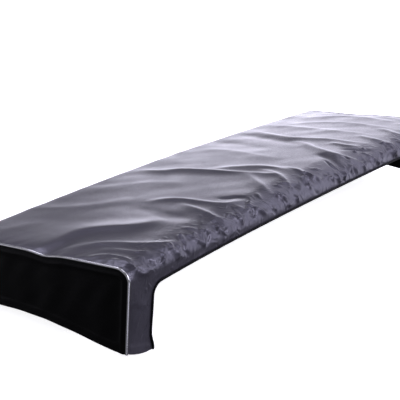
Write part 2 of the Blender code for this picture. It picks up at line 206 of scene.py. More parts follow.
# Short sharp creases on the roll, at its near corner and on the legs, in mm on the cloth.
CREASES = (
    # path, height
    (((11, 67), (16, 45), (17, 24), (18, 8), (28, -1), (48, -6)), 3.84),
    (((13, 86), (24, 74), (29, 56), (30, 36), (32, 18)), 2.88),
    (((29, 8), (40, 0), (56, -2)), 2.56),
    (((46, -38), (32, -55), (24, -66), (16, -92)), 1.44),
    (((50, -76), (42, -87), (32, -104)), -1.28),
    (((14, -32), (22, -45), (40, -52)), 1.12),
    (((950, -40), (964, -62), (976, -92)), 1.28),
    (((944, -72), (954, -90), (968, -104)), -1.12),
    (((92, 24), (99, 10), (112, -4)), 2.88),
    (((118, 14), (110, 2), (104, -8)), 2.56),
    (((148, 24), (155, 8), (170, -6)), 3.52),
    (((176, 18), (168, 4), (164, -8)), 2.88),
    (((206, 20), (211, 6), (222, -6)), 3.2),
    (((254, 20), (260, 8), (266, -2)), 4.48),
    (((268, 20), (267, 4)), 3.52),
    (((302, 20), (311, 9), (326, -2)), 4.16),
    (((371, 23), (377, 11), (391, 2)), 4.8),
    (((413, 7), (416, -8)), 3.84),
    (((462, 24), (458, 11), (463, 2)), 4.48),
    (((486, 40), (482, 20), (500, 7)), 5.12),
    (((545, 12), (544, 1), (551, -7)), 4.48),
    (((572, 48), (557, 22), (561, 8)), -5.12),
    (((594, 15), (602, 4), (611, -5)), 4.48),
    (((627, 8), (638, -7)), 3.52),
    (((668, 18), (674, 4), (694, -8)), 4.8),
    (((734, 15), (741, 3), (759, -8)), 5.44),
    (((752, 10), (738, -6)), 4.48),
    (((780, 20), (788, 4), (800, -6)), 4.48),
    (((846, 16), (852, 2), (866, -8)), 3.84),
    (((905, 14), (912, 0), (920, -8)), 3.2),
)
# Small puckers among them, in mm along the length.
PUCKERS = (
    # centre_x, spread, count
    (58, 10, 3),
    (90, 16, 6),
    (132, 14, 5),
    (172, 16, 6),
    (212, 12, 4),
    (262, 12, 4),
    (300, 14, 5),
    (336, 14, 3),
    (388, 16, 5),
    (424, 12, 3),
    (470, 16, 5),
    (516, 14, 4),
    (560, 14, 5),
    (600, 14, 4),
    (652, 15, 5),
    (696, 12, 3),
    (742, 13, 5),
    (800, 16, 4),
    (862, 16, 4),
    (920, 14, 3),
)
# A crease's and a pucker's widths towards the near end and the far. A pucker's lowest, likeliest and
# highest place, shortest and longest half, height, bend at its middle, and lean one way or the other
# with its spread. One in three sinks in.
CREASE_WIDTHS = (3.2, 2.8)
PUCKER_WIDTHS = (3.0, 2.6)
PUCKER_PLACES = (-18, 12, 44)
PUCKER_HALVES = (4, 12)
PUCKER_HEIGHTS = (1.8, 4.2)
PUCKER_SIGNS = (1, 1, -0.8)
PUCKER_BEND = 2
PUCKER_LEANS = ((0.85, 0.25), (-0.6, 0.3))
PUCKER_LEAN_SHARES = (0.6, 0.4)
# Where an end seam sinks, in mm from the middle.
SEAM_DIPS = (
    # end, y, half_width, depth
    (-1, -18, 24, -3.8),
    (1, 52, 40, -1.4),
)
# Gathers where the padded top rolls over the cut-out side, in mm along the length.
GATHERS = (
    # centre_x, half_width, depth
    (66, 8, 0.3),
    (104, 9, -0.25),
    (152, 8, 0.4),
    (176, 9, -0.35),
    (258, 9, 0.375),
    (284, 10, -0.3),
    (330, 10, 0.25),
    (388, 9, 0.4),
    (414, 10, -0.325),
    (486, 9, 0.375),
    (516, 10, -0.3),
    (566, 9, 0.4),
    (596, 10, -0.375),
    (650, 9, 0.425),
    (684, 11, -0.3),
    (752, 9, 0.4),
    (790, 11, -0.325),
    (856, 10, 0.325),
    (918, 10, -0.3),
)
# Where on the cloth the gathers are deepest, how far they reach, and how they start at the wall.
GATHERS_PLACE = 14
GATHERS_WIDTH = 22
GATHERS_RISE = 8
# Ripples that the end seams draw into the top, in mm along a seam.
SEAM_RIPPLES = (
    # wave, phase, height
    (17, 0.4, 0.35),
    (11, 2.1, 0.22),
    (29, 4.0, 0.45),
)
RIPPLES_SLANT = 0.5
RIPPLES_START = 5
RIPPLES_FADE = 16
# The low unevenness of slack cloth, in mm: how many waves, their slant in degrees and its spread, the
# shortest and the longest, their height as a share of that, how far they sway and over what reach, and
# the shortest and the longest stretch over which they swell.
SLACK_COUNT = 16
SLACK_SLANT = (128, 16)
SLACK_WAVES = (34, 95)
SLACK_SHARE = 0.00125
SLACK_SWAY = 8
SLACK_SWAY_REACH = 60
SLACK_SWELLS = (35, 80)

# How the folds fade, in mm: over the roll, the closed side's roll and the end seams, and beside the
# tape. The seams draw the cloth in by a little.
ROLL_FADE = 10
CLOSED_ROLL_FADE = 24
SEAM_FADE = 9
SEAM_PUCKER_FADE = 12
TAPE_REACH = 20
TAPE_CLEAR = 4
TAPE_FADE = 5
SEAM_PULL = 0.7
SEAM_PULL_FADES = 2.2

# The plain sides, in metres: their slack, its place above the hem and its reach, how far the hem's
# step stays off the tape, and how the end seams draw them in.
SIDE_SLACK = 0.0005
SIDE_SLACK_PLACE = 0.04
SIDE_SLACK_REACH = 0.03
HEM_OFF_TAPE = 0.003
HEM_OFF_TAPE_FADE = 0.008
SIDE_SEAM_PULL = 0.0011
SIDE_SEAM_PULL_FADES = 0.0035

# The relief of an end panel, in metres: belly, allowance beside the seam, pulls at the hem, and waves.
PANEL_BELLY = 0.0012
PANEL_BELLY_REACH = 0.05
ALLOWANCE_HEIGHT = 0.0012
ALLOWANCE_PLACE = 0.0078
ALLOWANCE_WIDTH = 0.0030
HEM_PULL = 0.0006
HEM_PULL_PLACE = 0.006
HEM_PULL_WIDTH = 0.008
HEM_PULL_FADE = 0.02
PANEL_SLACK_FADE = 0.03
PANEL_EDGE = 0.003
PANEL_WAVES = (
    # wave, slant, phase, height
    (0.050, 0.3, 1.2, 0.0004),
    (0.083, -0.25, 4.0, 0.0006),
    (0.031, 0.7, 2.2, 0.0002),
)
# How finely an end panel is divided: all over, and beside its seam and the step of its hem.
PANEL_STEP = 0.0046
FINE_STEP = 0.0014
SEAM_RINGS = 10
HEM_POINTS = 101
HEM_FINE = (-0.003, 0.004)
HEM_CLEAR = (-0.004, 0.006)

# The slot in the binding that the cloth lies in, and half of its outside, in mm: out from the middle
# of the cloth, and past its cut edge.
BINDING_SLOT = ((-1.3, -3.5), (-1.3, 0.3), (1.3, 0.3))
BINDING_HALF = (
    # out, past
    (1.3, -3.5),
    (1.8, -4.1),
    (2.5, -3.9),
    (3.0, -3.2),
    (3.1, -2.5),
    (2.9, -1.5),
    (2.4, -0.2),
    (1.8, 0.6),
    (1.1, 1.1),
    (0.4, 1.35),
)

# The soft boxes of the studio, in metres. Each faces the point that it is aimed at.
COOL_WHITE, PALE_WHITE = "#e9e7ff", "#f0eeff"
SOFT_BOXES = (
    # name, place, aim, width, height, brightness, tint
    ("far_edge_glow", (1.62, 0.69, -0.15), (0, 0, -0.15), 1.9, 0.5, 3.2, PALE_WHITE),
    ("crest_glow", (1.15, 1.0, 0.03), (0, 0, 0.03), 0.9, 0.14, 1.6, PALE_WHITE),
    ("crease_glow", (0.33, -1.9, 1.6), (0, -0.15, 0), 0.8, 0.8, 13.0, PALE_WHITE),
    ("far_glow", (1.62, 0.69, 0.2), (0, 0, 0.2), 1.9, 0.2, 3.6, PALE_WHITE),
    ("far_glow_high", (1.62, 0.69, 0.4), (0, 0, 0.4), 1.9, 0.2, 1.2, PALE_WHITE),
    ("back_glow", (-0.28, 1.8, 0.0), (-0.28, 0, 0), 3.65, 0.6, 1.6, PALE_WHITE),
    ("right_low", (1.5, -0.95, -0.3), (0.1, -0.2, -0.1), 1.4, 0.6, 1.6, COOL_WHITE),
    ("left_glow", (-3.4, 1.95, 0.83), (0, 0, 0), 2.5, 1.0, 1.2, COOL_WHITE),
    ("front_low", (-2.0, -2.9, -1.5), (0, 0, 0), 4.5, 1.2, 1.3, COOL_WHITE),
    ("high_left", (0.0, 2.35, 3.2), (0, 0, 0), 1.5, 1.5, 6.0, COOL_WHITE),
    ("right_glow_low", (3.13, -2.45, 0.42), (0, 0, 0), 2.8, 0.84, 2.6, COOL_WHITE),
    ("right_glow", (3.03, -2.2, 1.4), (0, 0, 0), 2.8, 1.1, 2.4, COOL_WHITE),
    ("right_glow_high", (2.54, -1.71, 2.57), (0, 0, 0), 2.6, 1.2, 3.0, COOL_WHITE),
    ("shoulder_glow", (3.16, 0.44, 2.07), (0, 0, 0), 2.4, 1.1, 1.8, COOL_WHITE),
    ("overhead", (0.7, 0.0, 3.94), (0, 0, 0), 1.8, 1.8, 4.0, COOL_WHITE),
    ("front_fill", (-1.24, -3.41, 1.69), (0, 0, 0), 3.0, 1.4, 3.5, COOL_WHITE),
)

# The camera that the photograph's edges give: metres, degrees and millimetres.
CAMERA_PLACE = (-1.4388, -1.0317, 0.5560)
CAMERA_TILT = 70.99
CAMERA_HEADING = -52.12
CAMERA_LENS = 93.42
CAMERA_SENSOR = 36.0


def smooth(value):
    """Nothing up to 0, one from 1 on, and a soft slope between."""
    t = np.clip(value, 0.0, 1.0)
    return t * t * (3 - 2 * t)


def bump(distance, width):
    """The profile of a soft round rise."""
    return np.exp(-((distance / width) ** 2))


def pinch(distance, width):
    """The profile of a pinched crest: a narrow round top and hollow flanks."""
    blunt, steepness = 0.3, 1.5
    return np.exp(-steepness * (np.hypot(distance / width, blunt) - blunt))


def unit(vector):
    """The same direction, one long."""
    vector = np.asarray(vector, float)
    return vector / np.linalg.norm(vector, axis=-1, keepdims=True)


def rounded_path(points, steps=7):
    """A smooth path through given points."""
    points = np.array(points, float)
    ends = np.vstack([2 * points[0] - points[1], points, 2 * points[-1] - points[-2]])
    path = []
    for before, start, stop, after in zip(ends, ends[1:], ends[2:], ends[3:]):
        for k in range(steps):
            t = k / steps
            bend = 2 * before - 5 * start + 4 * stop - after
            twist = 3 * start - before - 3 * stop + after
            path.append(0.5 * (2 * start + (stop - before) * t + bend * t**2 + twist * t**3))
    return np.array(path + [points[-1]])


def beside_path(across, along, path):
    """Distance from a path, above zero on its left, and the share of its length where that is met."""
    runs = np.diff(path, axis=0)
    lengths = np.hypot(*runs.T)
    passed = np.concatenate([[0], np.cumsum(lengths)])
    headings = unit(runs)
    turned = unit(np.vstack([headings[:1], headings]) + np.vstack([headings, headings[-1:]]))
    nearest = np.full(across.shape, np.inf)
    signed, share = np.zeros(across.shape), np.zeros(across.shape)
    for k, ((x, v), (run_x, run_v), length) in enumerate(zip(path, runs, lengths)):
        t = np.clip(((across - x) * run_x + (along - v) * run_v) / length**2, 0, 1)
        off_x, off_v = across - x - run_x * t, along - v - run_v * t
        distance = np.hypot(off_x, off_v)
        closer = distance < nearest
        nearest = np.where(closer, distance, nearest)
        head_x = turned[k][0] * (1 - t) + turned[k + 1][0] * t
        head_v = turned[k][1] * (1 - t) + turned[k + 1][1] * t
        side = np.where(head_x * off_v - head_v * off_x >= 0, 1, -1)
        signed = np.where(closer, side * distance, signed)
        share = np.where(closer, (passed[k] + length * t) / passed[-1], share)
    return signed, share


def fold_profile(distance, near_width, far_width):
    """A long even slope on the near side of a crest, and a short pinched one on its far side."""
    power = 1.6
    near_side = np.exp(-(np.abs(distance / near_width) ** power))
    return np.where(distance > 0, pinch(distance, far_width), near_side)


def add_fold(relief, across, along, path, height, near_width, far_width, end_power=3):
    """Adds one fold to a relief, in mm, at places in mm."""
    reach = FOLD_REACH * max(near_width, far_width)
    low, high = path.min(0) - reach, path.max(0) + reach
    close = (across > low[0]) & (across < high[0]) & (along > low[1]) & (along < high[1])
    if not close.any():
        return
    distance, share = beside_path(across[close], along[close], path)
    if height > 0:
        shape = fold_profile(distance, near_width, far_width)
    else:
        shape = bump(distance, np.where(distance > 0, far_width, near_width))
    relief[close] += height * shape * (1 - np.abs(2 * share - 1) ** end_power)


def eased(relief):
    """A relief with the corners taken off between neighbours on the cloth."""
    for axis in (0, 1):
        before, after = np.roll(relief, 1, axis), np.roll(relief, -1, axis)
        relief = (before + 2 * relief + after) / 4
    return relief


def fold_relief(across, along):
    """The main folds of the top, in mm."""
    relief = np.zeros(across.shape)
    for path, height, near_width, far_width in FOLDS:
        add_fold(relief, across, along, rounded_path(path), height, near_width, far_width)
    return eased(relief)


def pucker_relief(across, along):
    """The short creases and the puckers that cross among them, in mm."""
    chance = np.random.default_rng(SEED)
    relief = np.zeros(across.shape)
    for path, height in CREASES:
        add_fold(relief, across, along, rounded_path(path), height, *CREASE_WIDTHS, end_power=2)
    for centre, spread, count in PUCKERS:
        for _ in range(count):
            x = centre + spread * chance.uniform(-1, 1)
            v = chance.triangular(*PUCKER_PLACES)
            leans = [chance.normal(*lean) for lean in PUCKER_LEANS]
            lean = chance.choice(leans, p=PUCKER_LEAN_SHARES)
            half = chance.uniform(*PUCKER_HALVES)
            height = chance.uniform(*PUCKER_HEIGHTS) * chance.choice(PUCKER_SIGNS)
            run = np.array((math.sin(lean), -math.cos(lean))) * half
            path = np.array((x, v)) + np.outer((-1, 0, 1), run)
            path[1] += chance.uniform(-PUCKER_BEND, PUCKER_BEND, 2)
            add_fold(relief, across, along, path, height, *PUCKER_WIDTHS, end_power=2)
    return relief


def slack_relief(across, along):
    """The low unevenness of slack cloth, in mm, drawn out along the slant in which it pulls."""
    chance = np.random.default_rng(SEED + 1)
    relief = np.zeros(across.shape)
    for _ in range(SLACK_COUNT):
        slant = math.radians(chance.normal(*SLACK_SLANT))
        run = across * math.cos(slant) + along * math.sin(slant)
        side = -across * math.sin(slant) + along * math.cos(slant)
        wave = chance.uniform(*SLACK_WAVES)
        phase, bend = chance.uniform(0, 2 * math.pi, 2)
        sway = SLACK_SWAY * np.sin(run / SLACK_SWAY_REACH + bend)
        swell = 0.5 + 0.5 * np.sin(run / chance.uniform(*SLACK_SWELLS) + bend)
        relief += SLACK_SHARE * wave * swell * np.sin(2 * math.pi * (side + sway) / wave + phase)
    return relief


def seam_ripple(across, along):
    """Ripples that the end seams draw into the top, in mm. They slant away from the seam."""
    from_end = np.minimum(across, LENGTH / MM - across)
    place = along + RIPPLES_SLANT * from_end
    ripple = np.zeros(across.shape)
    for wave, phase, height in SEAM_RIPPLES:
        ripple += height * np.sin(2 * math.pi * place / wave + phase)
    return ripple * np.exp(-from_end / RIPPLES_FADE) * smooth(from_end / RIPPLES_START)


def seam_dip(end, y):
    """How far an end seam sinks where the cloth has slipped."""
    total = 0.0
    for row_end, place, width, depth in SEAM_DIPS:
        total = total + depth * bump(y / MM - place, width) * (row_end == end)
    return total * MM


def lift(x, y):
    """How far the padded top stands above its seam plane, folds apart."""
    from_end = SHELL_END - np.abs(x)
    crown = CROWN * (1 - np.abs(x / SHELL_END) ** CROWN_POWER)
    puff = EDGE_PUFF * (1 - np.exp(-from_end / EDGE_PUFF_REACH))
    dip = np.where(x > 0, seam_dip(1, y), seam_dip(-1, y)) * bump(from_end, SEAM_DIP_FADES)
    return crown + puff + dip


def wall(side):
    """A long side's foot in the section, and its direction upwards."""
    rise = CUTOUT_SIDE_RISE if side < 0 else CLOSED_SIDE_RISE
    foot = np.array((side * (HALF_DEPTH - WALL_LEAN), LEVEL))
    return foot, unit(np.array((side * HALF_DEPTH, LEVEL + rise)) - foot)


def wall_normal(side):
    """The outward normal of a long side."""
    _, up = wall(side)
    return np.array((0, side * up[1], -side * up[0]))


def wall_point(side, z, drawn_in=0.0):
    """The points of a long side at some heights, as y, z."""
    foot, up = wall(side)
    foot = foot - wall_normal(side)[1:] * drawn_in
    z = np.asarray(z, float)
    return np.stack([foot[0] + up[0] * (z - foot[1]) / up[1], z], -1)


def roll(side, rows):
    """The rounded edge of the top on one side: points, outward normals and shares of the top's lift,
    from the wall to the top."""
    foot, up = wall(side)
    inward = -side * unit((1, -TOP_TILT))
    turn = math.acos(up @ inward)
    solved = np.linalg.solve(np.array([up, -inward]).T, (0, TOP_EDGE_THICKNESS) - foot)
    start = foot + up * (solved[0] - CORNER_DOWN)
    angle = turn * np.linspace(0, 1, rows + 1)[:, None]
    raised = CORNER_DOWN * (np.cos(turn - angle) - math.cos(turn)) / (1 - math.cos(turn))
    drawn = CORNER_IN * (1 - np.cos(angle)) / (1 - math.cos(turn))
    points = start + up * raised + inward * drawn
    along = unit(up * CORNER_DOWN * np.sin(turn - angle) + inward * CORNER_IN * np.sin(angle))
    normals = np.stack([side * along[:, 1], -side * along[:, 0]], -1)
    return points, normals, smooth(angle[:, 0] / turn)


def section():
    """The section's outside, from the cut-out side's wall over the top to the closed side's wall, as
    points, normals, shares of the top's lift, and places in mm on the cloth."""
    near_points, near_normals, _ = roll(-1, ROLL_ROWS)
    far_points, far_normals, far_shares = (part[::-1] for part in roll(1, CLOSED_ROLL_ROWS))
    t = np.linspace(0, 1, TOP_ROWS + 1)[1:-1, None] ** TOP_ROWS_CLOSING
    flat = near_points[-1] * (1 - t) + far_points[0] * t
    points = np.vstack([near_points, flat, far_points])
    normals = np.vstack([near_normals, np.repeat(near_normals[-1:], len(flat), 0), far_normals])
    passed = np.concatenate([[0], np.cumsum(np.hypot(*np.diff(points, axis=0).T))])
    shares = np.concatenate([np.ones(len(near_points) + len(flat)), far_shares])
    shares *= smooth(passed / SHOULDER)
    top_starts = near_points[-1][0] + HALF_DEPTH
    places = (passed - passed[ROLL_ROWS] + top_starts) / MM
    return points, normals, shares, places


def cutout_edge(x):
    """The height of the cut-out's upper edge. On a leg it is where the round corner starts."""
    inside = LEG_EDGE - np.abs(x)
    across = np.clip(CUTOUT_RADIUS - inside, 0, CUTOUT_RADIUS)
    corner = LEG_TOP + np.sqrt(CUTOUT_RADIUS**2 - across**2)
    near = np.maximum(x + LEG_EDGE - CUTOUT_RADIUS, 0)
    far = np.maximum(LEG_EDGE - CUTOUT_RADIUS - x, 0)
    risen = (1 - np.exp(-near / CUTOUT_RISE_NEAR)) * (1 - np.exp(-far / CUTOUT_RISE_FAR))
    return LEVEL + np.where(inside <= 0, LEG_TOP, corner + CUTOUT_RISE * risen)


def leg_hem(x):
    """The height of a leg's hem, which drops towards the cut-out."""
    t = (SHELL_END - np.abs(x)) / (SHELL_END - LEG_EDGE)
    return LEVEL + LEG_HEM_AT_END + (LEG_HEM_AT_CUTOUT - LEG_HEM_AT_END) * (1 - (1 - t) ** 2)


def leg_point(x, t):
    """A point of a leg, from its hem at t = 0 to its top at t = 1: place along the length, height.
    It flares over its lowest third, and its waist fades over the highest quarter."""
    out = np.clip((SHELL_END - np.abs(x)) / (SHELL_END - LEG_EDGE), 0, 1)
    waist = LEG_WAIST * bump(t - LEG_WAIST_PLACE, LEG_WAIST_REACH) * smooth(4 * (1 - t))
    wider = LEG_FLARE * (1 - smooth(3 * t)) - waist
    z = leg_hem(x) + (LEVEL + LEG_TOP - leg_hem(x)) * t
    return x - np.sign(x) * wider * out, z


def closed_hem(x):
    """The height of the closed side's hem, which hangs in a low wave."""
    half_waves, phase = 5, 0.6
    return LEVEL + CLOSED_HEM + CLOSED_HEM_WAVE * np.sin(half_waves * math.pi * x / LENGTH + phase)


def panel_hem(y):
    """The height of an end panel's hem, drawn up in its middle."""
    return LEVEL + PANEL_HEM + PANEL_HEM_RISE * np.cos(math.pi * y / DEPTH) ** 2


def columns():
    """The places along the length where the shell is divided: legs, round corners, middle."""
    t = np.linspace(0, 1, LEG_COLUMNS + 1) ** LEG_COLUMNS_CLOSING
    leg = SHELL_END + (LEG_EDGE - SHELL_END) * t
    quarter = math.pi / 2 * np.arange(1, ROUND_COLUMNS + 1) / ROUND_COLUMNS
    corner = LEG_EDGE - CUTOUT_RADIUS * (1 - np.cos(quarter))
    outer = np.concatenate([leg, corner])
    count = round(2 * corner[-1] / COLUMN_STEP)
    middle = np.linspace(-corner[-1], corner[-1], count + 1)[1:-1]
    return np.concatenate([-outer, middle, outer[::-1]])


def new_piece(name, points, faces, material, uv=None):
    """A smooth-shaded piece of one material, with its places on the cloth where it has a weave."""
    sharp_degrees = 50
    mesh = bpy.data.meshes.new(name)
    mesh.from_pydata([tuple(map(float, point)) for point in points], [], faces)
    mesh.shade_smooth()
    mesh.set_sharp_from_angle(angle=math.radians(sharp_degrees))
    mesh.materials.append(material)
    if uv is not None:
        corner = np.zeros(len(mesh.loops), int)
        mesh.loops.foreach_get("vertex_index", corner)
        layer = mesh.uv_layers.new(name="cloth")
        layer.data.foreach_set("uv", np.asarray(uv, np.float32)[corner].ravel())
    piece = bpy.data.objects.new(name, mesh)
    bpy.context.scene.collection.objects.link(piece)
    return piece


def closed_sheet(outer, inner, faces):
    """Points and faces of a sheet between two layers that are divided alike, with its rims."""
    count = len(outer)
    edges = {(a, b) for face in faces for a, b in zip(face, face[1:] + face[:1])}
    rims = [(b, a, a + count, b + count) for a, b in sorted(edges) if (b, a) not in edges]
    back = [tuple(k + count for k in reversed(face)) for face in faces]
    return np.vstack([outer, inner]), faces + back + rims


def dress(piece, node):
    """The piece stands for a solid of the part and moves with it."""
    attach(piece, "root")
    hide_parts(node)
    return piece


def turned_hem(above):
    """The step that a turned hem makes, at some height above it."""
    return HEM_HEIGHT * smooth((HEM_DEPTH + HEM_STEP_ABOVE - above) / HEM_STEP)


def wall_relief(x, z, hem):
    """The turned hem and the faint slack of a plain side, in metres."""
    wave, sway_wave, sway = 0.031, 0.11, 3
    above = z - hem
    slack = SIDE_SLACK * np.sin(x / wave + sway * np.sin(x / sway_wave))
    slack *= smooth(above / SIDE_SLACK_REACH)
    return turned_hem(above) + slack * bump(above - SIDE_SLACK_PLACE, SIDE_SLACK_REACH)


def plain_shell(x):
    """The shell before any fold, with a column at each x: points, outward normals, thickness, shares of
    the top's lift, and places in mm on the cloth."""
    points, normals, shares, places = section()
    shape = (len(x), DROP.stop)
    base, normal = np.zeros((*shape, 3)), np.zeros((*shape, 3))
    thickness = np.full(shape, SIDE_THICKNESS)
    # The legs, from their hems up.
    t = np.arange(LEG_ROWS) / LEG_ROWS
    leg_x, leg_z = leg_point(x[:, None], t[None, :])
    base[:, LEGS, 0] = leg_x
    base[:, LEGS, 1:] = wall_point(-1, leg_z)
    # The strip between the cut-out and the roll.
    t = np.arange(STRIP_ROWS) / STRIP_ROWS
    low = cutout_edge(x)[:, None]
    base[:, STRIP, 0] = x[:, None]
    base[:, STRIP, 1:] = wall_point(-1, low + (points[0][1] - low) * t)
    normal[:, : STRIP.stop] = wall_normal(-1)
    # The rolls and the top.
    base[:, OVER, 0] = x[:, None]
    base[:, OVER, 1:] = points
    normal[:, OVER, 1:] = normals
    thickness[:, OVER] = SIDE_THICKNESS + (TOP_EDGE_THICKNESS - SIDE_THICKNESS) * shares
    # The drop of the closed side.
    t = np.arange(1, DROP_ROWS + 1) / DROP_ROWS
    drop_z = points[-1][1] + (closed_hem(x)[:, None] - points[-1][1]) * t
    base[:, DROP, 0] = x[:, None]
    base[:, DROP, 1:] = wall_point(1, drop_z)
    normal[:, DROP] = wall_normal(1)
    # Places on the cloth, in mm from the cut-out side.
    cloth = np.zeros(shape)
    cloth[:, OVER] = places
    cloth[:, : STRIP.stop] = places[0] - (points[0][1] - base[:, : STRIP.stop, 2]) / MM
    cloth[:, DROP] = places[-1] + (points[-1][1] - base[:, DROP, 2]) / MM
    return base, normal, thickness, shares, cloth


def shell_relief(base, cloth, from_end):
    """How far the folds, creases, puckers and gathers of the shell stand off it, in mm."""
    first, last = cloth[0, OVER.start], cloth[0, OVER.stop - 1]
    across = (base[..., 0] + HALF_LENGTH) / MM
    over_roll = smooth((cloth - first) / ROLL_FADE) * smooth((last - cloth) / CLOSED_ROLL_FADE)
    relief = fold_relief(across, cloth) + slack_relief(across, cloth)
    relief *= over_roll * smooth(from_end / SEAM_FADE)
    relief += seam_ripple(across, cloth) * over_roll
    beside_tape = np.abs(base[..., 0]) - LEG_EDGE
    above_tape = np.maximum(base[..., 2] - cutout_edge(base[..., 0]), beside_tape) / MM
    off_tape = smooth((above_tape - TAPE_CLEAR) / TAPE_FADE)
    off_tape = np.where(cloth < first + TAPE_REACH, off_tape, 1.0)
    relief += pucker_relief(across, cloth) * off_tape * smooth(from_end / SEAM_PUCKER_FADE)
    relief -= SEAM_PULL * np.exp(-from_end / SEAM_PULL_FADES) * over_roll
    gathers = sum(depth * bump(across - centre, width) for centre, width, depth in GATHERS)
    drawn_up = bump(cloth - GATHERS_PLACE, GATHERS_WIDTH) * smooth((cloth - first) / GATHERS_RISE)
    return relief + gathers * drawn_up * smooth(from_end * MM / GATHERS_FADE)


def grid_faces(kept):
    """The faces between neighbours in a grid that are all kept, by their numbers among the kept."""
    number = np.where(kept, np.cumsum(kept).reshape(kept.shape) - 1, -1)
    corners = (number[:-1, :-1], number[1:, :-1], number[1:, 1:], number[:-1, 1:])
    quads = np.stack([corner.ravel() for corner in corners], -1)
    return [tuple(face) for face in quads[(quads >= 0).all(1)].tolist()]


def make_shell(material):
    """The wrap panel: the padded top, the strip and legs round the cut-out, and the closed side."""
    x = columns()
    base, normal, thickness, shares, cloth = plain_shell(x)
    from_end = (SHELL_END - np.abs(base[..., 0])) / MM
    outer = base + normal * (shell_relief(base, cloth, from_end) * MM)[..., None]
    outer[:, OVER, 2] += lift(x[:, None], base[:, OVER, 1]) * shares
    for side, part, hem in ((-1, LEGS, leg_hem(x)), (1, DROP, closed_hem(x))):
        off_tape = 1.0
        if side < 0:
            beside_tape = np.abs(base[:, part, 0]) - LEG_EDGE
            off_tape = smooth((beside_tape - HEM_OFF_TAPE) / HEM_OFF_TAPE_FADE)
        plain = wall_relief(base[:, part, 0], base[:, part, 2], hem[:, None]) * off_tape
        drawn_in = SIDE_SEAM_PULL * np.exp(-from_end[:, part] * MM / SIDE_SEAM_PULL_FADES)
        outer[:, part] += normal[:, part] * (plain - drawn_in)[..., None]
    inner = base - normal * thickness[..., None]
    kept = np.ones(cloth.shape, bool)
    kept[np.abs(x) < LEG_EDGE - GAP, LEGS] = False
    uv = np.stack([base[..., 0], cloth * MM], -1)[kept]
    points, faces = closed_sheet(outer[kept], inner[kept], grid_faces(kept))
    piece = new_piece("padded_shell", points, faces, material, np.vstack([uv, uv]))
    return dress(piece, "shell")


def seam_path(end, drawn_in):
    """The seam between the shell and an end panel, from hem to hem, drawn in from the outside."""
    points, normals, shares, _ = section()
    path = points - normals * drawn_in
    path[:, 1] += seam_dip(end, points[:, 0]) * shares
    start = wall_point(-1, leg_hem(SHELL_END), drawn_in)
    stop = wall_point(1, closed_hem(end * SHELL_END), drawn_in)
    t = np.arange(SEAM_STEPS)[:, None] / SEAM_STEPS
    return np.vstack([start + (path[0] - start) * t, path, (stop + (path[-1] - stop) * t)[::-1]])


def swept(points, facing, outlines):
    """Points and faces of a solid drawn along a flat path. Each outline lies along facing and across the
    path, on the side of along x facing."""
    runs = unit(np.diff(points, axis=0))
    before, after = np.vstack([runs[:1], runs]), np.vstack([runs, runs[-1:]])
    along = unit(before + after)
    least = 0.5
    stretch = 1 / np.maximum((along * before).sum(1), least)
    across = unit(np.cross(along, facing)) * stretch[:, None]
    count = outlines.shape[1]
    rings = points[:, None] + facing * outlines[..., :1] + across[:, None] * outlines[..., 1:]
    faces = []
    for k in range(len(points) - 1):
        for n in range(count):
            m = (n + 1) % count
            faces.append((k * count + n, k * count + m, (k + 1) * count + m, (k + 1) * count + n))
    end = (len(points) - 1) * count
    faces += [tuple(range(count))[::-1], tuple(range(end, end + count))]
    return rings.reshape(-1, 3), faces


def make_piping(name, end, material):
    """The cord in an end seam, a round of bias cloth over a cord, a little uneven."""
    sway, unevenness, thickest, sway_steps = 0.02, 0.015, 1.04, 3.1
    path = seam_path(end, PIPING_SUNK)
    x = end * (HALF_LENGTH - PIPING_RADIUS)
    points = np.column_stack([np.full(len(path), x), path])
    turns = 2 * math.pi * np.arange(PIPING_SIDES) / PIPING_SIDES
    chance = np.random.default_rng(SEED + 3)
    plump = 1 + sway * np.sin(np.arange(len(points)) / sway_steps)
    plump += unevenness * chance.normal(size=len(points))
    round_outline = np.stack([np.cos(turns), np.sin(turns)], -1) * PIPING_RADIUS
    outlines = round_outline * np.minimum(plump, thickest)[:, None, None]
    piece = new_piece(name, *swept(points, np.array((1.0, 0, 0)), outlines), material)
    return dress(piece, name.replace("piped_cord", "piping"))


def panel_relief(y, z, path, end):
    """How far an end panel stands out: belly, allowance beside the seam, hem and soft wrinkles."""
    distance, _ = beside_path(y, z, path)
    from_seam = np.abs(distance)
    above = z - panel_hem(y)
    belly = PANEL_BELLY * smooth(from_seam / PANEL_BELLY_REACH) * smooth(above / PANEL_BELLY_REACH)
    allowance = ALLOWANCE_HEIGHT * bump(from_seam - ALLOWANCE_PLACE, ALLOWANCE_WIDTH)
    slack = np.zeros(y.shape)
    for wave, slant, phase, height in PANEL_WAVES:
        run = y * math.cos(slant) + z * math.sin(slant)
        slack += height * np.sin(2 * math.pi * run / wave + phase + end)
    slack *= smooth(from_seam / PANEL_SLACK_FADE) * smooth(above / PANEL_SLACK_FADE)
    wave, sway_wave, sway = 0.013, 0.05, 2
    pulled = HEM_PULL * np.sin(y / wave + sway * np.sin(y / sway_wave))
    pulled *= bump(above - HEM_PULL_PLACE, HEM_PULL_WIDTH) * smooth(from_seam / HEM_PULL_FADE)
    folded = np.maximum(allowance, turned_hem(above))
    return (belly + folded + slack + pulled) * smooth(from_seam / PANEL_EDGE)


def inside_outline(points, outline):
    """Which points lie inside a closed outline."""
    y, z = points.T
    crossings = np.zeros(len(points), int)
    for (y0, z0), (y1, z1) in zip(outline, np.roll(outline, -1, axis=0)):
        if z0 != z1:
            between = (z0 > z) != (z1 > z)
            crossings += between & (y < y0 + (z - z0) * (y1 - y0) / (z1 - z0))
    return crossings % 2 == 1


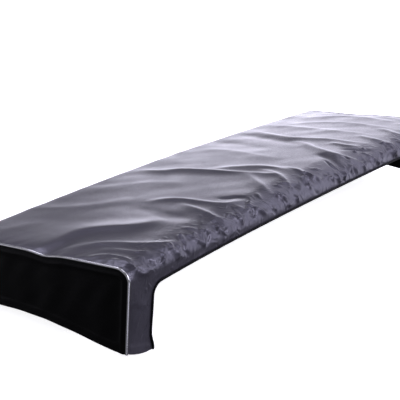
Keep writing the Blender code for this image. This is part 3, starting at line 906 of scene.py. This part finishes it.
def panel_points(end, path, outline):
    """Points inside an end panel: rings beside its seam, and rows that lie closer at its hem's step."""
    inside = [seam_path(end, PANEL_INSET + k * FINE_STEP)[::2] for k in range(1, SEAM_RINGS)]
    low, high = outline.min(0), outline.max(0)
    for y in np.arange(low[0] + PANEL_STEP, high[0], PANEL_STEP):
        hem = panel_hem(y)
        turn = hem + HEM_DEPTH
        rows = (
            np.arange(hem + PANEL_STEP, turn + HEM_CLEAR[0], PANEL_STEP),
            np.arange(turn + HEM_FINE[0], turn + HEM_FINE[1], FINE_STEP),
            np.arange(turn + HEM_CLEAR[1], high[1], PANEL_STEP),
        )
        heights = np.concatenate(rows)
        grid = np.column_stack([np.full(len(heights), y), heights])
        distance, _ = beside_path(grid[:, 0], grid[:, 1], path)
        inside.append(grid[np.abs(distance) > SEAM_RINGS * FINE_STEP])
    inside = np.vstack(inside)
    inside = inside[inside[:, 1] > panel_hem(inside[:, 0]) + MM]
    return inside[inside_outline(inside, outline)]


def make_end_panel(name, end, material):
    """A plain panel sewn in at the cord, with a turned hem at its foot."""
    path = seam_path(end, PANEL_INSET)
    hem_y = np.linspace(path[-1][0], path[0][0], HEM_POINTS)[1:-1]
    outline = np.vstack([path, np.column_stack([hem_y, panel_hem(hem_y)])])
    flat = [Vector(point) for point in np.vstack([outline, panel_points(end, path, outline)])]
    ring = [(k, (k + 1) % len(outline)) for k in range(len(outline))]
    inside_only, closest = 1, 1e-5
    flat, _, faces, *_ = geometry.delaunay_2d_cdt(flat, ring, [], inside_only, closest)
    flat = np.array([tuple(point) for point in flat])
    y, z = flat.T
    face_x = end * (HALF_LENGTH - PANEL_SET_BACK)
    outer = np.column_stack([face_x + end * panel_relief(y, z, path, end), y, z])
    inner = np.column_stack([np.full(len(y), face_x - end * PANEL_THICKNESS), y, z])
    faces = [tuple(face) if end > 0 else tuple(face)[::-1] for face in faces]
    points, faces = closed_sheet(outer, inner, faces)
    piece = new_piece(name, points, faces, material, np.vstack([flat, flat]))
    return dress(piece, name.replace("panel_of_end", "end_panel"))


def cutout_path():
    """The cut-out's edge in the middle of the cloth, up one leg, along the strip, down the other."""
    t = np.arange(LEG_ROWS) / LEG_ROWS
    leg_x, leg_z = leg_point(np.full(LEG_ROWS, LEG_EDGE), t)
    strip_x = columns()
    strip_x = strip_x[np.abs(strip_x) <= LEG_EDGE + GAP / 2]
    x = np.concatenate([-leg_x, strip_x, leg_x[::-1]])
    z = np.concatenate([leg_z, cutout_edge(strip_x), leg_z[::-1]])
    points = np.column_stack([x, wall_point(-1, z)])
    return points - wall_normal(-1) * SIDE_THICKNESS / 2


def make_binding(material):
    """Tape folded over the cut-out's edge, a little uneven, with the cloth between its two sides."""
    sway, unevenness, thinnest, thickest, sway_steps = 0.03, 0.02, 0.96, 1.05, 2.3
    outline = [*BINDING_SLOT, *BINDING_HALF, *((-out, past) for out, past in BINDING_HALF[:0:-1])]
    path = cutout_path()
    chance = np.random.default_rng(SEED + 5)
    waver = 1 + sway * np.sin(np.arange(len(path)) / sway_steps)
    waver += unevenness * chance.normal(size=len(path))
    outlines = np.repeat(np.array(outline)[None] * MM, len(path), 0)
    outlines[:, len(BINDING_SLOT) :] *= np.clip(waver, thinnest, thickest)[:, None, None]
    piece = new_piece("bound_edge", *swept(path, wall_normal(-1), outlines), material)
    return dress(piece, "cutout_binding")


def hex_colour(code, alpha=1.0):
    """A colour given in sRGB, as Blender's linear one."""
    linear = []
    for k in (1, 3, 5):
        share = int(code[k : k + 2], 16) / 255
        linear.append(share / 12.92 if share <= 0.04045 else ((share + 0.055) / 1.055) ** 2.4)
    return (*linear, alpha)


def add_node(tree, kind, inputs=None, **settings):
    """A node with its settings. An input is a value or the output that feeds it."""
    made = tree.nodes.new("ShaderNode" + kind)
    for name, value in settings.items():
        setattr(made, name, value)
    for name, value in (inputs or {}).items():
        if isinstance(value, bpy.types.NodeSocket):
            tree.links.new(value, made.inputs[name])
        else:
            made.inputs[name].default_value = value
    return made


def worked_out(tree, operation, *values):
    """The output of a sum, a product or a sine."""
    return add_node(tree, "Math", dict(enumerate(values)), operation=operation).outputs[0]


def carried(tree, value, source, target=(0.0, 1.0), **settings):
    """The output of a value carried from one range to another."""
    ends = zip(("From Min", "From Max", "To Min", "To Max"), (*source, *target))
    return add_node(tree, "MapRange", {"Value": value, **dict(ends)}, **settings).outputs[0]


def mix_tones(tree, shader, share, dark, pale):
    """The shader's colour, between a dark and a pale one."""
    tones = {"Factor": share, "A": hex_colour(dark), "B": hex_colour(pale)}
    colour = add_node(tree, "Mix", tones, data_type="RGBA")
    tree.links.new(colour.outputs["Result"], shader.inputs["Base Color"])


def raise_bumps(tree, shader, height, distance, strength):
    """Bumps on the shader's surface, on top of any that it has."""
    inputs = {"Height": height, "Distance": distance, "Strength": strength}
    for link in shader.inputs["Normal"].links:
        inputs["Normal"] = link.from_socket
    bumps = add_node(tree, "Bump", inputs)
    tree.links.new(bumps.outputs[0], shader.inputs["Normal"])


def new_material(name, **values):
    """A material, its node tree and its shader, with the values that are the same all over it."""
    material = bpy.data.materials.new(name)
    material.use_nodes = True
    tree = material.node_tree
    shader = tree.nodes["Principled BSDF"]
    for socket, value in values.items():
        shader.inputs[socket.replace("_", " ")].default_value = value
    return material, tree, shader


def nylon_tones(tree, shader, place, dark, pale, roughness):
    """Uneven tones and sheen, in soft blotches with fine specks."""
    blotch = add_node(tree, "TexNoise", {"Vector": place, "Scale": 22.0, "Detail": 4.0})
    fine = add_node(tree, "TexNoise", {"Vector": place, "Scale": 900.0, "Detail": 2.0})
    mixed = worked_out(tree, "ADD", blotch.outputs["Fac"], fine.outputs["Fac"])
    mix_tones(tree, shader, carried(tree, mixed, (0.7, 1.3)), dark, pale)
    sheens = (roughness - 0.04, roughness + 0.05)
    worn = carried(tree, blotch.outputs["Fac"], (0.3, 0.7), sheens)
    tree.links.new(worn, shader.inputs["Roughness"])


def plain_weave(tree, cloth):
    """The height of a plain weave's threads, one over and one under."""
    thread_mm = 1.1
    wave = 2 * math.pi / (thread_mm * MM)
    scaled = add_node(tree, "VectorMath", {0: cloth, 1: (wave, wave, wave)}, operation="MULTIPLY")
    parts = add_node(tree, "SeparateXYZ", {0: scaled.outputs[0]})
    warp = worked_out(tree, "SINE", parts.outputs["X"])
    weft = worked_out(tree, "SINE", parts.outputs["Y"])
    return worked_out(tree, "MULTIPLY", warp, weft)


def small_crinkles(tree, place, cloth, crinkle_mm, edge_crease_mm):
    """The height of crinkles too small for the mesh: low ones all over, and sharper ones where the
    bound edge draws the cloth up, fainter on the legs."""
    crinkles = add_node(
        tree,
        "TexNoise",
        {"Vector": place, "Scale": 42.0, "Detail": 3.0, "Roughness": 0.55, "Distortion": 0.6},
    )
    sharp = add_node(
        tree,
        "TexNoise",
        {"Vector": place, "Scale": 55.0, "Detail": 2.0, "Roughness": 0.5, "Distortion": 1.2},
        noise_type="RIDGED_MULTIFRACTAL",
    )
    from_edge = add_node(tree, "SeparateXYZ", {0: cloth}).outputs["Y"]
    heights = (0.0, edge_crease_mm * MM)
    drawn_up = carried(tree, from_edge, (0.075, 0.012), heights, interpolation_type="SMOOTHSTEP")
    off_legs = carried(tree, from_edge, (-0.045, -0.02), (0.35, 1.0))
    stronger = worked_out(tree, "MULTIPLY", off_legs, drawn_up)
    crumpled = worked_out(tree, "MULTIPLY", sharp.outputs["Fac"], stronger)
    plain = worked_out(tree, "MULTIPLY", crinkles.outputs["Fac"], crinkle_mm * MM)
    return worked_out(tree, "ADD", crumpled, plain)


def coated_nylon(name, dark, pale, tint, roughness, specular, crinkle_mm, edge_crease_mm):
    """Plain-weave nylon with a thin coat on its back: fine even threads, a satin face and low crinkles.
    The threads are drawn coarser than the real 0.25 mm, so that they show close up."""
    material, tree, shader = new_material(name, Specular_IOR_Level=specular, IOR=1.5)
    shader.inputs["Specular Tint"].default_value = hex_colour(tint)
    place = add_node(tree, "TexCoord").outputs["Object"]
    cloth = add_node(tree, "UVMap", uv_map="cloth").outputs["UV"]
    nylon_tones(tree, shader, place, dark, pale, roughness)
    raise_bumps(tree, shader, plain_weave(tree, cloth), distance=0.00004, strength=0.5)
    crinkles = small_crinkles(tree, place, cloth, crinkle_mm, edge_crease_mm)
    raise_bumps(tree, shader, crinkles, distance=1.0, strength=1.0)
    return material


def cord_cloth():
    """Bias strip pulled tight over a cord: smooth, shiny, a little uneven. Its IOR is raised until its
    line of light is as bright as the real one."""
    material, tree, shader = new_material(
        "bias nylon over cord", Specular_IOR_Level=1.0, IOR=2.8, Roughness=0.2
    )
    place = add_node(tree, "TexCoord").outputs["Object"]
    uneven = add_node(tree, "TexNoise", {"Vector": place, "Scale": 300.0, "Detail": 2.0})
    mix_tones(tree, shader, uneven.outputs["Fac"], "#040405", "#0b0b0d")
    raise_bumps(tree, shader, uneven.outputs["Fac"], distance=0.00005, strength=0.6)
    return material


def binding_tape():
    """Woven polyester binding: close ribs across the tape, a soft low shine."""
    material, tree, shader = new_material(
        "woven binding tape", Specular_IOR_Level=0.05, IOR=1.5, Roughness=0.3
    )
    place = add_node(tree, "TexCoord").outputs["Object"]
    ribs = add_node(
        tree,
        "TexWave",
        {"Vector": place, "Scale": 300.0, "Distortion": 0.4},
        wave_type="BANDS",
        bands_direction="X",
    )
    mix_tones(tree, shader, ribs.outputs["Fac"], "#030304", "#08080a")
    raise_bumps(tree, shader, ribs.outputs["Fac"], distance=0.0001, strength=0.5)
    return material


def studio_floor():
    """Seamless white paper below and all round, bright in itself. Only the camera sees it, so it throws
    no light back on the cover."""
    size, high, below = 12.0, 9.0, 0.0008
    low = CAD_BOX[0].z - below
    corners = [(-size, -size, low), (size, -size, low), (size, size, low), (-size, size, low)]
    corners += [(x, y, high) for x, y, _ in corners]
    sides = [(k, (k + 1) % 4, (k + 1) % 4 + 4, k + 4) for k in range(4)]
    material, _, shader = new_material(
        "white paper", Roughness=0.9, Specular_IOR_Level=0.1, Emission_Strength=0.85
    )
    shader.inputs["Base Color"].default_value = hex_colour("#f4f4f4")
    shader.inputs["Emission Color"].default_value = hex_colour("#ffffff")
    floor = new_piece("studio_floor", corners, [(0, 1, 2, 3), *sides], material)
    floor.visible_diffuse = floor.visible_glossy = floor.visible_shadow = False


def soft_box(name, place, aim, width, height, brightness, tint):
    """A soft box of some radiance that faces a point."""
    light = bpy.data.lights.new(name, "AREA")
    light.shape = "RECTANGLE"
    light.size, light.size_y = width, height
    light.energy = brightness * math.pi * width * height
    light.color = hex_colour(tint)[:3]
    box = bpy.data.objects.new(name, light)
    box.location = place
    box.rotation_euler = (Vector(aim) - Vector(place)).to_track_quat("-Z", "Y").to_euler()
    box.visible_camera = False
    bpy.context.scene.collection.objects.link(box)


def studio():
    """White paper, a dim sky that is darker below, and soft boxes round the cover, more than half of
    them beyond its far end."""
    studio_floor()
    world = bpy.data.worlds.new("studio")
    world.use_nodes = True
    background = world.node_tree.nodes["Background"]
    background.inputs["Color"].default_value = hex_colour("#ecebf6")
    heading = add_node(world.node_tree, "TexCoord").outputs["Generated"]
    height = add_node(world.node_tree, "SeparateXYZ", {0: heading}).outputs["Z"]
    dimmed = carried(world.node_tree, height, (-0.75, -0.22), (0.04, 0.36))
    world.node_tree.links.new(dimmed, background.inputs["Strength"])
    bpy.context.scene.world = world
    for box in SOFT_BOXES:
        soft_box(*box)
    bpy.context.scene.view_settings.view_transform = "Standard"


def photo_camera():
    """The camera of the photograph, as its edges give it."""
    camera = bpy.data.objects.new("photo_camera", bpy.data.cameras.new("photo_camera"))
    camera.data.lens = CAMERA_LENS
    camera.data.sensor_width = CAMERA_SENSOR
    camera.location = CAMERA_PLACE
    camera.rotation_euler = (math.radians(CAMERA_TILT), 0, math.radians(CAMERA_HEADING))
    bpy.context.scene.collection.objects.link(camera)
    bpy.context.scene.camera = camera


def dress_cover():
    """Every sewn piece of the cover in its own cloth, the shell's black nylon with its sheen painted on
    in slate tones.
    """
    # The shell's nylon is black like the end panels; its slate-violet tones are painted sheen, standing
    # in for the grey-violet shine that light gives the top.
    slate_painted_sheen = coated_nylon("coated slate nylon", "#27262c", "#323037", "#f0edff", 0.32, 0.6, 0.2, 1.7)
    black = coated_nylon("coated black nylon", "#030303", "#060606", "#ffffff", 0.42, 0.05, 0.3, 0.0)
    shell = make_shell(slate_painted_sheen)
    cord = cord_cloth()
    binding = make_binding(binding_tape())
    for name, end in (("near", -1), ("far", 1)):
        make_end_panel(f"panel_of_end_{name}", end, black)
        make_piping(f"piped_cord_{name}", end, cord)


# The studio's lights and camera take the place of any that are there.
for old in list(bpy.data.objects):
    if old.type in {"LIGHT", "CAMERA"}:
        bpy.data.objects.remove(old)
dress_cover()
studio()
photo_camera()
